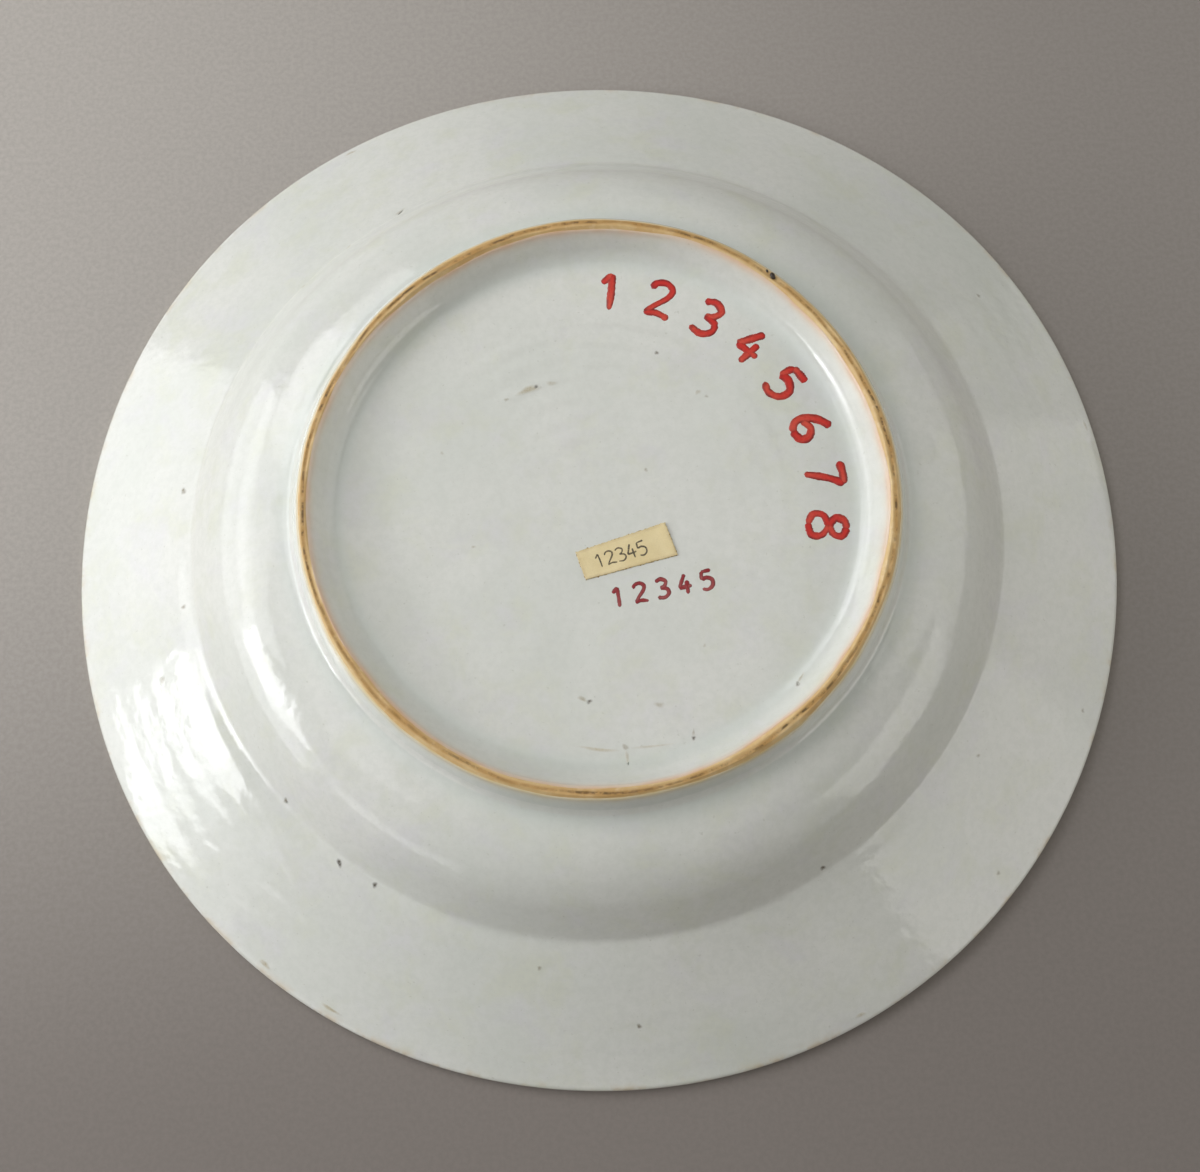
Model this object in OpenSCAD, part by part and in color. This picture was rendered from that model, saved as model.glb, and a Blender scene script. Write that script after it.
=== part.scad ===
// Glazed porcelain soup plate, lying face down on its lip.
// Millimetres. +Z points up out of the underside, and the origin is the
// centre of the lip's circle on the surface that the plate lies on.
// The pieces are the fired clay body, the glaze coats, a gummed paper label
// and two brushed inventory numbers.

/* [Plate] */
// Diameter across the lip
rim_d = 230; // [222:1:240]
// Height from the lip to the crest of the foot ring
plate_h = 40.4; // [39:0.1:43]
// Diameter of the crease on the back between the well and the flat rim
crease_d = 170.8; // [168:0.1:174]
// Slope of the back of the flat rim
rim_slope = 29.3; // [28.5:0.1:30]
// Slope of the front of the flat rim, a little less, so the rim thins outwards
rim_front_slope = 27.6; // [27:0.1:28.2]
// Steepest slope of the well's wall
wall_slope = 52; // [50:1:56]
// Height of the back's outer edge, where the flat rim turns into the lip
lip_h = 2.1; // [1.9:0.1:2.4]

/* [Well] */
// Thickness of the floor of the well
floor_t = 4.4; // [3.6:0.1:4.8]
// Thickness of the well's wall
wall_t = 3.8; // [3.2:0.1:4.4]
// Radius of the bend between floor and wall, on the back
back_bend_r = 24; // [20:1:28]
// Radius of the bend between floor and wall, on the front
front_bend_r = 20; // [16:1:24]

/* [Foot ring] */
// Diameter of the middle of the foot ring's crest
foot_d = 117; // [116:0.1:118]
// Width of the flat worn crest
crest_w = 1.1; // [0.6:0.1:1.4]
// Width and height of the bare bevel on each side of the crest
bevel = 0.8; // [0.5:0.1:1]
// Depth of the recess inside the foot ring
recess_h = 6.2; // [5.6:0.1:6.6]
// Radius at the root of the recess's wall
recess_fillet = 4.8; // [2:0.1:5]
// Height of the foot ring above the shoulder on its outside
foot_h = 5.6; // [5:0.1:6]
// Slope of the shoulder outside the foot ring
shoulder_slope = 12; // [9:1:15]

/* [Glaze] */
// Thickness of the glaze where it has run full
glaze_t = 0.35; // [0.2:0.05:0.5]
// Length over which the glaze thins out at a bare edge
glaze_fade = 2.5; // [1.5:0.1:4]

/* [Label] */
// Length of the paper label
label_l = 19; // [15:0.5:22]
// Width of the label's narrow, left end
label_w_left = 6; // [4:0.1:8]
// Width of the label's wide, right end
label_w_right = 7.2; // [4:0.1:8]
// Thickness of the paper
paper_t = 0.12; // [0.08:0.01:0.2]
// Thickness of the gum under it
gum_t = 0.04; // [0.03:0.01:0.08]
// Turn of the label
label_turn = 15; // [0:1:30]

/* [Numbers] */
// Radius of the arc that the large number follows
large_arc_r = 46.4; // [45:0.1:47]
// Height of a large digit
large_h = 7.8; // [6:0.1:8.5]
// Width of a large brush stroke
large_stroke = 1.6; // [0.8:0.05:1.8]
// Height of a small digit
small_h = 3.9; // [3:0.1:4.5]
// Width of a small brush stroke
small_stroke = 0.8; // [0.5:0.05:1]
// Thickness of the dried paint
paint_t = 0.08; // [0.05:0.01:0.15]

/* [Hidden] */
$fn = 240;

rim_r = rim_d / 2;
crease_r = crease_d / 2;
crest_in = (foot_d - crest_w) / 2;
crest_out = (foot_d + crest_w) / 2;
recess_z = plate_h - recess_h;
shoulder_z = plate_h - foot_h;
floor_z = recess_z - floor_t;

// The foot ring's sides lean, so it is wider at its root than at its crest.
inner_lean = 3.2;
outer_lean = 1.8;
recess_r = crest_in - bevel - inner_lean;
foot_root_r = crest_out + bevel + outer_lean;
foot_fillet = 2.4;

// Where the straight lines of the back meet.
crease_z = lip_h + (rim_r - crease_r) * tan(rim_slope);
back_bend = crossing([foot_root_r, shoulder_z], shoulder_slope,
                     [crease_r, crease_z], wall_slope);
crease_fillet = 3;

// Where the straight lines of the front meet.
lip_round = 1.1;
land_w = 0.5;
land_in = rim_r - lip_round - land_w;
lip_front = [land_in - 0.3, 0];
wall_front = [crease_r - wall_t / sin(wall_slope), crease_z];
front_bend = crossing([0, floor_z], 0, wall_front, wall_slope);
front_crease = crossing(lip_front, rim_front_slope, wall_front, wall_slope);
front_crease_fillet = 4;

// Arc lengths between points are about this long.
bend_step = 1.6;

// The corners of the glazed outline as [radius, height, fillet].
BACK = [[crest_out + bevel, plate_h - bevel, 0],
        [foot_root_r, shoulder_z, foot_fillet],
        [back_bend[0], back_bend[1], back_bend_r],
        [crease_r, crease_z, crease_fillet],
        [rim_r, lip_h, lip_round],
        [rim_r, 0, lip_round],
        [land_in + land_w, 0, 0]];
FRONT = [[land_in, 0, 0],
         [lip_front[0], lip_front[1], lip_round],
         [front_crease[0], front_crease[1], front_crease_fillet],
         [front_bend[0], front_bend[1], front_bend_r],
         [0, floor_z, 0]];
BASE = [[0, recess_z, 0],
        [recess_r, recess_z, recess_fillet],
        [crest_in - bevel, plate_h - bevel, 0]];
CREST = [[crest_in, plate_h], [crest_out, plate_h]];

// Brush strokes of the digits 1 to 8, in a box one high, by hand.
DIGITS = [
    [[[0.14, 0.76], [0.34, 1.00]], [[0.34, 1.00], [0.34, 0.50], [0.31, 0.00]]],
    [[[0.06, 0.78], [0.14, 0.95], [0.36, 1.00], [0.52, 0.84], [0.46, 0.60], [0.24, 0.32], [0.05, 0.05]],
     [[0.05, 0.05], [0.30, 0.10], [0.58, 0.02]]],
    [[[0.08, 0.90], [0.30, 1.00], [0.50, 0.84], [0.42, 0.62], [0.24, 0.54]],
     [[0.24, 0.54], [0.50, 0.44], [0.54, 0.20], [0.34, 0.02], [0.06, 0.08]]],
    [[[0.36, 1.00], [0.20, 0.66], [0.06, 0.36]], [[0.06, 0.36], [0.30, 0.36], [0.58, 0.38]],
     [[0.42, 0.66], [0.40, 0.30], [0.38, 0.00]]],
    [[[0.52, 0.98], [0.30, 0.97], [0.14, 0.95]], [[0.14, 0.95], [0.11, 0.75], [0.10, 0.56]],
     [[0.10, 0.56], [0.32, 0.62], [0.53, 0.46], [0.50, 0.16], [0.28, 0.00], [0.06, 0.08]]],
    [[[0.44, 1.00], [0.22, 0.78], [0.08, 0.46], [0.10, 0.18], [0.28, 0.02]],
     [[0.28, 0.02], [0.50, 0.14], [0.52, 0.36], [0.34, 0.50], [0.12, 0.36]]],
    [[[0.06, 0.93], [0.30, 0.97], [0.54, 0.96]], [[0.54, 0.96], [0.38, 0.56], [0.24, 0.00]]],
    [[[0.30, 0.54], [0.12, 0.70], [0.16, 0.92], [0.32, 1.00]],
     [[0.32, 1.00], [0.50, 0.90], [0.48, 0.68], [0.30, 0.54]],
     [[0.30, 0.54], [0.08, 0.38], [0.08, 0.12], [0.30, 0.00]],
     [[0.30, 0.00], [0.54, 0.12], [0.52, 0.38], [0.30, 0.54]]]
];
digit_w = 0.6;
digit_stretch = 1.2;
stroke_steps = 4;
cap_steps = 4;

// The large number runs clockwise along its arc, from the first angle to the last.
large_first = 84.5;
large_last = -8;
large_count = 8;

// The small number: its first digit's centre, the step between digits, and how far it climbs.
small_first = [3.4, -19.6];
small_pitch = 4.5;
small_climb = 9;
small_count = 5;

// The label's middle, on the recess floor.
label_at = [5.7, -10.7];

// ---- plane geometry ----

function unit(v) = v / norm(v);
function xy(p) = [p[0], p[1]];
function reversed(list) = [for (i = [len(list) - 1 : -1 : 0]) list[i]];

// Where a line falling outwards at one slope meets another line at another slope.
function crossing(a, slope_a, b, slope_b) =
    let (ta = tan(slope_a), tb = tan(slope_b),
         r = (b[1] - a[1] + b[0] * tb - a[0] * ta) / (tb - ta))
    [r, a[1] - (r - a[0]) * ta];

// The turn from one direction to another, from -180 to 180 degrees.
function turn(a, b) = let (d = b - a) d > 180 ? d - 360 : d < -180 ? d + 360 : d;

// The arc that rounds a corner between its two neighbours.
function rounded_corner(before, corner, after, radius) =
    let (u = unit(before - corner), w = unit(after - corner),
         half = acos(u * w) / 2,
         centre = corner + unit(u + w) * radius / sin(half),
         from = corner + u * radius / tan(half) - centre,
         to = corner + w * radius / tan(half) - centre,
         a0 = atan2(from[1], from[0]),
         swing = turn(a0, atan2(to[1], to[0])),
         steps = max(4, ceil(radius * abs(swing) * PI / 180 / bend_step)))
    [for (i = [0 : steps]) centre + radius * [cos(a0 + swing * i / steps), sin(a0 + swing * i / steps)]];

// A path through corners, each rounded by its own fillet.
function path(corners) =
    [for (i = [0 : len(corners) - 1])
        each corners[i][2] == 0
            ? [xy(corners[i])]
            : rounded_corner(xy(corners[i - 1]), xy(corners[i]), xy(corners[i + 1]), corners[i][2])];

// Distance along a path to each of its points.
function lengths(p, i = 0, sum = 0) =
    i == len(p) - 1 ? [sum]
                    : concat([sum], lengths(p, i + 1, sum + norm(p[i + 1] - p[i])));

// The direction to the left of the path at a point.
function left_of(p, i) =
    let (d = unit(p[min(i + 1, len(p) - 1)] - p[max(i - 1, 0)])) [-d[1], d[0]];

// The clay under a glazed path. The glaze thins out at each end that is marked as bare.
function clay_under(p, bare_start, bare_end) =
    let (s = lengths(p), total = s[len(s) - 1])
    [for (i = [0 : len(p) - 1])
        let (a = bare_start ? min(1, s[i] / glaze_fade) : 1,
             b = bare_end ? min(1, (total - s[i]) / glaze_fade) : 1)
        p[i] - glaze_t * min(a, b) * left_of(p, i)];

// Points along a straight stretch, so that the glaze can thin along it.
function dense(p) =
    [for (i = [0 : len(p) - 1])
        each i == len(p) - 1 ? [p[i]]
           : let (n = max(1, min(4, floor(norm(p[i + 1] - p[i]) / 0.6))))
             [for (k = [0 : n - 1]) p[i] + (p[i + 1] - p[i]) * k / n]];

back_path = dense(path(BACK));
front_path = dense(path(FRONT));
base_path = dense(path(BASE));
back_clay = clay_under(back_path, true, true);
front_clay = clay_under(front_path, true, false);
base_clay = clay_under(base_path, false, true);

// A smooth curve through hand-placed points.
function curve(p) =
    concat([for (i = [0 : len(p) - 2], k = [0 : stroke_steps - 1])
        let (a = p[max(i - 1, 0)], b = p[i], c = p[i + 1], d = p[min(i + 2, len(p) - 1)],
             t = k / stroke_steps)
        0.5 * (2 * b + (c - a) * t + (2 * a - 5 * b + 4 * c - d) * t * t
               + (3 * b - a - 3 * c + d) * t * t * t)],
        [p[len(p) - 1]]);

// A half circle of points around the end of a stroke.
function cap(at, dir, radius) =
    let (a = atan2(dir[1], dir[0]))
    [for (k = [1 : cap_steps - 1])
        at + radius * [cos(a + 90 - 180 * k / cap_steps), sin(a + 90 - 180 * k / cap_steps)]];

// ---- shapes ----

module turned(outline) {
    rotate_extrude() polygon(outline);
}

// One brush stroke of even width with round ends, as a flat outline.
module stroke(points, width) {
    p = curve(points);
    last = len(p) - 1;
    left = [for (i = [0 : last]) p[i] + left_of(p, i) * width / 2];
    right = [for (i = [0 : last]) p[i] - left_of(p, i) * width / 2];
    polygon(concat(left,
                   cap(p[last], p[last] - p[last - 1], width / 2),
                   reversed(right),
                   cap(p[0], p[0] - p[1], width / 2)));
}

module digit(value, height, width) {
    for (s = DIGITS[value - 1])
        stroke([for (q = s) [(q[0] - digit_w / 2) * height * digit_stretch, (q[1] - 0.5) * height]], width);
}

module label_outline() {
    polygon([[-label_l / 2, -label_w_left / 2], [label_l / 2, -label_w_right / 2],
             [label_l / 2 - 0.4, label_w_right / 2], [-label_l / 2 - 0.3, label_w_left / 2]]);
}

// ---- pieces ----

module porcelain_body() {
    color("antiquewhite")
        turned(concat(back_clay, front_clay, base_clay, CREST));
}

module back_glaze() {
    color("lightcyan")
        turned(concat(back_path, reversed([for (i = [1 : len(back_clay) - 2]) back_clay[i]])));
}

module front_glaze() {
    color("azure")
        turned(concat(front_path, reversed([for (i = [1 : len(front_clay) - 1]) front_clay[i]])));
}

module base_glaze() {
    color("mintcream")
        turned(concat(base_path, reversed([for (i = [0 : len(base_clay) - 2]) base_clay[i]])));
}

module label_gum() {
    color("khaki")
        translate([label_at[0], label_at[1], recess_z]) rotate([0, 0, label_turn])
            linear_extrude(gum_t) label_outline();
}

module paper_label() {
    color("wheat")
        translate([label_at[0], label_at[1], recess_z + gum_t]) rotate([0, 0, label_turn])
            linear_extrude(paper_t) label_outline();
}

module large_number() {
    color("firebrick")
        translate([0, 0, recess_z])
            linear_extrude(paint_t)
                for (i = [0 : large_count - 1]) {
                    a = large_first + (large_last - large_first) * i / (large_count - 1);
                    rotate([0, 0, a - 90]) translate([0, large_arc_r])
                        digit(i + 1, large_h, large_stroke);
                }
}

module small_number() {
    color("brown")
        translate([small_first[0], small_first[1], recess_z])
            linear_extrude(paint_t)
                rotate([0, 0, small_climb])
                    for (i = [0 : small_count - 1])
                        translate([i * small_pitch, 0])
                            digit(i + 1, small_h, small_stroke);
}

porcelain_body();
back_glaze();
front_glaze();
base_glaze();
label_gum();
paper_label();
large_number();
small_number();
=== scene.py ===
"""A glazed porcelain soup plate lying face down, built round its CAD model.

Lengths are millimetres until a mesh is made. Z is up, and the origin is the centre of the lip's
circle on the floor. Angles go anticlockwise from +X, seen from above.
"""

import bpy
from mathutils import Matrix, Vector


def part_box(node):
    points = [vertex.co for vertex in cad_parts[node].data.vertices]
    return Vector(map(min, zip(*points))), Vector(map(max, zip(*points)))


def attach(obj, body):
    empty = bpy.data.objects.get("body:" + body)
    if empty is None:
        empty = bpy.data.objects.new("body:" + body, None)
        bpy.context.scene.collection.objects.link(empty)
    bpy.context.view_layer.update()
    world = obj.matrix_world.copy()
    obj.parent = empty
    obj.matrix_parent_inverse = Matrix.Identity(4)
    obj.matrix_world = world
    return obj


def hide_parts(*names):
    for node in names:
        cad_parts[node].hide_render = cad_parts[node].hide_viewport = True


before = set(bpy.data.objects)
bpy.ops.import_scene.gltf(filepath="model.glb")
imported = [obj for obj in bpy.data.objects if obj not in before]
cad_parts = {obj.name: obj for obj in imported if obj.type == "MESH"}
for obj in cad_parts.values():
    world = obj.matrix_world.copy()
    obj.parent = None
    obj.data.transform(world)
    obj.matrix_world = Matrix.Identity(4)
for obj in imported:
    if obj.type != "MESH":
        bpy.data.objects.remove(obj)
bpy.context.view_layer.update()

import math

import bpy
import numpy as np
from mathutils import Quaternion, Vector

MM = 0.001
SEED = 11


def cad_box(node):
    """The lowest and highest corner of a CAD node, in millimetres."""
    low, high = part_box(node)
    return np.array(low) / MM, np.array(high) / MM


# ---- sizes of the plate

RIM_R = cad_box("back_glaze")[1][0]
PLATE_H = cad_box("porcelain_body")[1][2]
RECESS_Z = cad_box("label_gum")[0][2]
BARE_IN = cad_box("base_glaze")[1][0]
LABEL_MIDDLE = (cad_box("paper_label")[0] + cad_box("paper_label")[1])[:2] / 2

CREST_IN = 57.95
CREST_OUT = 59.05
BEVEL = 0.8
RECESS_R = 53.95
RECESS_FILLET = 4.8
FOOT_ROOT = (61.65, PLATE_H - 5.6)
SHOULDER_SLOPE = 12
CREASE_R = 85.4
WALL_SLOPE = 52
RIM_SLOPE = 29.3
RIM_FRONT_SLOPE = 27.6
LIP_H = 2.1
LIP_ROUND = 1.1
LAND_W = 0.5
FLOOR_T = 4.4
WALL_T = 3.8
GLAZE_T = 0.35
GLAZE_FADE = 2.5  # how far in from its edge a coat reaches its full thickness
GLAZE_SINK = 0.04  # how far a coat's hidden side lies inside the clay
CREST_MIDDLE = (CREST_IN + CREST_OUT) / 2
OUTLINE_STEP = 0.1


# ---- the outline, from the middle of the recess over foot and lip to the middle of the well

def crossing(a, slope_a, b, slope_b):
    """Where a line falling outwards through a meets another through b. Slopes are degrees."""
    ta = math.tan(math.radians(slope_a))
    tb = math.tan(math.radians(slope_b))
    r = (b[1] - a[1] + b[0] * tb - a[0] * ta) / (tb - ta)
    return r, a[1] - (r - a[0]) * ta


def rounded(corners):
    """A dense path through corners (radius, height, fillet), as arc lengths, radii and heights."""
    points = []
    for i, (r, z, fillet) in enumerate(corners):
        corner = np.array([r, z])
        if fillet == 0:
            points.append(corner)
            continue
        before = np.array(corners[i - 1][:2]) - corner
        after = np.array(corners[i + 1][:2]) - corner
        before = before / np.linalg.norm(before)
        after = after / np.linalg.norm(after)
        half = math.acos(np.clip(before @ after, -1, 1)) / 2
        middle = before + after
        centre = corner + middle / np.linalg.norm(middle) * fillet / math.sin(half)
        spoke_a = corner + before * fillet / math.tan(half) - centre
        spoke_b = corner + after * fillet / math.tan(half) - centre
        a0 = math.atan2(spoke_a[1], spoke_a[0])
        swing = math.atan2(spoke_b[1], spoke_b[0]) - a0
        swing = (swing + math.pi) % (2 * math.pi) - math.pi
        for t in np.linspace(0, 1, max(5, int(fillet * abs(swing) / OUTLINE_STEP))):
            a = a0 + swing * t
            points.append(centre + fillet * np.array([math.cos(a), math.sin(a)]))
    points = np.array(points)
    gaps = np.hypot(*np.diff(points, axis=0).T)
    keep = np.concatenate([[True], gaps > 1e-6])
    points, gaps = points[keep], gaps[keep[1:]]
    arc = np.concatenate([[0], np.cumsum(gaps)])
    even = np.linspace(0, arc[-1], int(arc[-1] / OUTLINE_STEP))
    return even, np.interp(even, arc, points[:, 0]), np.interp(even, arc, points[:, 1])


CREASE_Z = LIP_H + (RIM_R - CREASE_R) * math.tan(math.radians(RIM_SLOPE))
LAND_IN = RIM_R - LIP_ROUND - LAND_W
FRONT_EDGE_R = LAND_IN - 0.3
WALL_FRONT = (CREASE_R - WALL_T / math.sin(math.radians(WALL_SLOPE)), CREASE_Z)
BACK_BEND = crossing(FOOT_ROOT, SHOULDER_SLOPE, (CREASE_R, CREASE_Z), WALL_SLOPE)
FRONT_BEND = crossing((0, RECESS_Z - FLOOR_T), 0, WALL_FRONT, WALL_SLOPE)
FRONT_CREASE = crossing((FRONT_EDGE_R, 0), RIM_FRONT_SLOPE, WALL_FRONT, WALL_SLOPE)

ARC, RADIUS, HEIGHT = rounded([
    (0, RECESS_Z, 0),
    (RECESS_R, RECESS_Z, RECESS_FILLET),
    (CREST_IN - BEVEL, PLATE_H - BEVEL, 0.8),
    (CREST_IN, PLATE_H, 0.4),
    (CREST_OUT, PLATE_H, 0.4),
    (CREST_OUT + BEVEL, PLATE_H - BEVEL, 0.8),
    (*FOOT_ROOT, 2.4),
    (*BACK_BEND, 24),
    (CREASE_R, CREASE_Z, 3),
    (RIM_R, LIP_H, LIP_ROUND),
    (RIM_R, 0, LIP_ROUND),
    (LAND_IN + LAND_W, 0, 0),
    (FRONT_EDGE_R, 0, LIP_ROUND),
    (*FRONT_CREASE, 4),
    (*FRONT_BEND, 20),
    (0, RECESS_Z - FLOOR_T, 0),
])
TANGENT_R = np.gradient(RADIUS, ARC)
TANGENT_Z = np.gradient(HEIGHT, ARC)
RIM_ARC = ARC[np.argmax(RADIUS)]
END_ARC = ARC[-1]


def top_arc(radius):
    """The arc length at a radius on the side that is up."""
    part = ARC <= RIM_ARC
    return np.interp(radius, RADIUS[part], ARC[part])


def under_arc(radius):
    """The arc length at a radius on the side that lies face down."""
    part = ARC >= RIM_ARC
    return np.interp(radius, RADIUS[part][::-1], ARC[part][::-1])


LAND_OUT_ARC = under_arc(LAND_IN + LAND_W)
LAND_IN_ARC = under_arc(LAND_IN)

# ---- what the potter's hand and the kiln did to it


def rise(x, low, high):
    """0 below low, 1 above high, and smooth between."""
    t = np.clip((x - low) / (high - low), 0, 1)
    return t * t * (3 - 2 * t)


def band(x, low, high, edge):
    """1 between low and high, falling smoothly to 0 over an edge just inside them."""
    return rise(x, low, low + edge) * (1 - rise(x, high - edge, high))


def near(angle, middle, spread):
    """1 at an angle in degrees, falling to 0 at a spread of degrees on each side."""
    away = (np.degrees(angle) - middle + 180) % 360 - 180
    return np.clip(1 - (away / spread) ** 2, 0, 1) ** 2


def waves(angle, terms):
    """A sum of cosines (turns, size, phase in degrees)."""
    return sum(size * np.cos(k * angle - math.radians(phase)) for k, size, phase in terms)


def ripples(seed, turns, size):
    """Seeded cosines of falling size over a range of turns, for waves()."""
    rng = np.random.default_rng(SEED + seed)
    return [(k, size * rng.uniform(0.4, 1) * turns[0] / k, rng.uniform(0, 360))
            for k in range(*turns)]


def rings(radius, angle, spacing, wander, phase=0.0):
    """Concentric rings a spacing apart, from -1 to 1, that wander by terms for waves()."""
    return np.sin(2 * np.pi * radius / spacing + phase + waves(angle, wander))


# Terms for waves(), in millimetres.
RIM_WARP = [(1, 0.14, 171), (3, 0.21, 95), (4, 0.35, 157)]
CREASE_WARP = [(1, 0.2, 179), (2, 0.34, 50), (3, 0.16, 100)]
FOOT_WARP = [(1, 0.41, 11), (2, 0.14, 166), (4, 0.18, -45)]
# Soft lumps: their ripples round the plate, then spacing and phase outwards.
LUMPS = [(ripples(1, (2, 9), 0.06), 17.0, 0),
         (ripples(2, (3, 13), 0.05), 9.0, 1),
         (ripples(3, (7, 25), 0.03), 5.0, 2)]


def warp(radius, angle):
    """How far the ware moved outwards in the kiln."""
    foot = rise(radius, 50, 56) * (1 - rise(radius, 64, 80))
    crease = rise(radius, 64, 80) * (1 - rise(radius, 90, 108))
    rim = rise(radius, 90, 108)
    parts = ((foot, FOOT_WARP), (crease, CREASE_WARP), (rim, RIM_WARP))
    return sum(share * waves(angle, terms) for share, terms in parts)


DISC_R = 41.5
DOME_H = 0.45
DOME_R = 42
GROOVE_ROUND = 0.7


def sag(radius, angle):
    """The recess floor as the kiln left it: a low dome, and round it a band that climbs outwards on
    the lower left and falls a little elsewhere."""
    inner = np.minimum(radius, DISC_R)
    outer = np.maximum(radius - DISC_R, 0)
    outer = outer - GROOVE_ROUND * (1 - np.exp(-outer / GROOVE_ROUND))
    dome = DOME_H - DOME_H * (inner / DOME_R) ** 2
    slope = 0.125 * near(angle, 205, 78) - 0.022
    return (dome + slope * outer) * (1 - rise(radius, 49, 57))


def relief(arc, radius, angle):
    """Throwing rings and soft unevenness of the surface, as a lift in millimetres."""
    top = 1 - rise(arc, RIM_ARC - 3, RIM_ARC - 1)
    under = rise(arc, RIM_ARC + 6, RIM_ARC + 10)
    # Rings on the flat rim, strongest where the window's reflection ends.
    rim = top * band(radius, 87, 113, 3)
    glare = 0.8 + 1.4 * near(angle, 218, 14)
    h = rim * glare * 0.016 * rings(radius, angle, 5.8, [(2, 0.5, 40), (5, 0.2, 10)], 0.5)
    h = h + rim * 0.005 * rings(radius, angle, 2.3, [(3, 0.6, 80)])
    wall = top * band(radius, 62, 85, 4)
    h = h + wall * 0.010 * rings(radius, angle, 4.3, [(2, 0.7, 0)])
    # Rings in the recess, strongest at its far side.
    recess = top * band(radius, 6, 44, 5)
    ring_size = 0.014 + 0.085 * near(angle, 98, 50)
    h = h + recess * ring_size * rings(radius, angle, 4.6, [(1, 0.8, 20), (4, 0.4, 70)])
    h = h + top * sag(radius, angle)
    # A small step just outside the crease, highest on the lower left.
    step = 0.10 + 0.40 * near(angle, 211, 40)
    h = h + top * step * rise(radius, 85.9, 89.5) * (1 - rise(radius, 89.5, 110))
    h = h + under * 0.012 * rings(radius, angle, 6.1, [(2, 0.6, 120)])
    soft = rise(radius, 6, 30) * (top + under)
    for terms, spacing, phase in LUMPS:
        h = h + soft * waves(angle, terms) * np.sin(radius / spacing + phase)
    return h


def surface(arc, angle, lift=0.0):
    """Points at an arc length along the outline and an angle round it, lifted off the surface."""
    arc, angle, lift = np.broadcast_arrays(arc, angle, lift)
    r = np.interp(arc, ARC, RADIUS)
    z = np.interp(arc, ARC, HEIGHT)
    tr = np.interp(arc, ARC, TANGENT_R)
    tz = np.interp(arc, ARC, TANGENT_Z)
    size = np.hypot(tr, tz)
    h = lift + relief(arc, r, angle)
    out = r - tz / size * h + warp(r, angle)
    return np.stack([out * np.cos(angle), out * np.sin(angle), z + tr / size * h], -1)


# ---- mesh helpers

def place(name, data):
    """A new object in the scene."""
    thing = bpy.data.objects.new(name, data)
    bpy.context.scene.collection.objects.link(thing)
    return thing


def make_piece(name, points, faces, slot, material, replaces=(), **attributes):
    """A smooth mesh piece that rides on the plate, from points in millimetres."""
    mesh = bpy.data.meshes.new(name)
    mesh.from_pydata((np.asarray(points) * MM).tolist(), [], faces)
    mesh.validate()
    mesh.polygons.foreach_set("use_smooth", [True] * len(mesh.polygons))
    for key, values in attributes.items():
        attribute = mesh.attributes.new(key, "FLOAT", "POINT")
        attribute.data.foreach_set("value", np.asarray(values, np.float32).ravel())
    mesh.materials.append(material)
    piece = place(name, mesh)
    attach(piece, "root")
    if replaces:
        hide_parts(*replaces)
    return piece


def lathe(rows, wrap):
    """Points and faces of rows of points round the axis. A wrapped lathe joins its last row to its
    first; any other has a pole at each end. Also returns each point's index in the flat rows."""
    count, columns = rows.shape[:2]
    if wrap:
        points = rows.reshape(-1, 3)
        origin = np.arange(count * columns)
        starts = np.arange(count + 1) % count * columns
    else:
        points = np.concatenate([rows[:1].mean(1), rows[1:-1].reshape(-1, 3), rows[-1:].mean(1)])
        end = (count - 1) * columns
        origin = np.concatenate([[0], np.arange(columns, end), [end]])
        starts = 1 + np.arange(count - 2) * columns
    here = np.arange(columns)
    then = (here + 1) % columns
    quads = [np.stack([a + here, b + here, b + then, a + then], 1)
             for a, b in zip(starts, starts[1:])]
    faces = np.concatenate(quads).tolist()
    if not wrap:
        first, last = starts[0], starts[-1]
        pole = np.full_like(here, len(points) - 1)
        faces += np.stack([np.zeros_like(here), first + here, first + then], 1).tolist()
        faces += np.stack([last + here, pole, last + then], 1).tolist()
    return points, faces, origin


# The columns of every lathed piece, and their angles as one row.
COLUMNS = 720
TURN = np.linspace(0, 2 * np.pi, COLUMNS, endpoint=False)[None, :]


def steps(*marks):
    """Arc lengths through marks (arc, number of steps to the next mark)."""
    parts = [np.linspace(a, b, n, endpoint=False) for (a, n), (b, _) in zip(marks, marks[1:])]
    return np.concatenate(parts + [[marks[-1][0]]])


# ---- where the glaze ends on the foot ring

# The arc length of each glaze edge at every column, inside and outside the crest.
LINE_IN = top_arc(BARE_IN + 0.5 - 0.2 * np.cos(TURN - math.radians(11))
                  - 0.55 * near(TURN, 120, 24) + waves(TURN, ripples(4, (5, 31), 0.10)))
LINE_OUT = top_arc(CREST_OUT + 0.4 + 0.15 * np.cos(TURN + math.radians(60))
                   + waves(TURN, ripples(5, (4, 37), 0.10)))
MEAN_IN = LINE_IN.mean()
MEAN_OUT = LINE_OUT.mean()


def follow(arc, line):
    """Rows near a wobbling glaze line follow it round the plate."""
    arc = arc[:, None]
    middle = line.mean()
    return arc + (line - middle) * (1 - rise(np.abs(arc - middle), 0.4, 5.0))


def clay_lift(arc, angle):
    """How deep the clay lies under the glaze: nothing where it is bare."""
    line_in = np.interp(angle, TURN[0], LINE_IN[0], period=2 * np.pi)
    line_out = np.interp(angle, TURN[0], LINE_OUT[0], period=2 * np.pi)
    foot = np.maximum(line_in - arc, arc - line_out)
    lip = np.maximum(LAND_OUT_ARC - arc, arc - LAND_IN_ARC)
    return -GLAZE_T * np.clip(np.minimum(foot, lip) / GLAZE_FADE, 0, 1)


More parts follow.
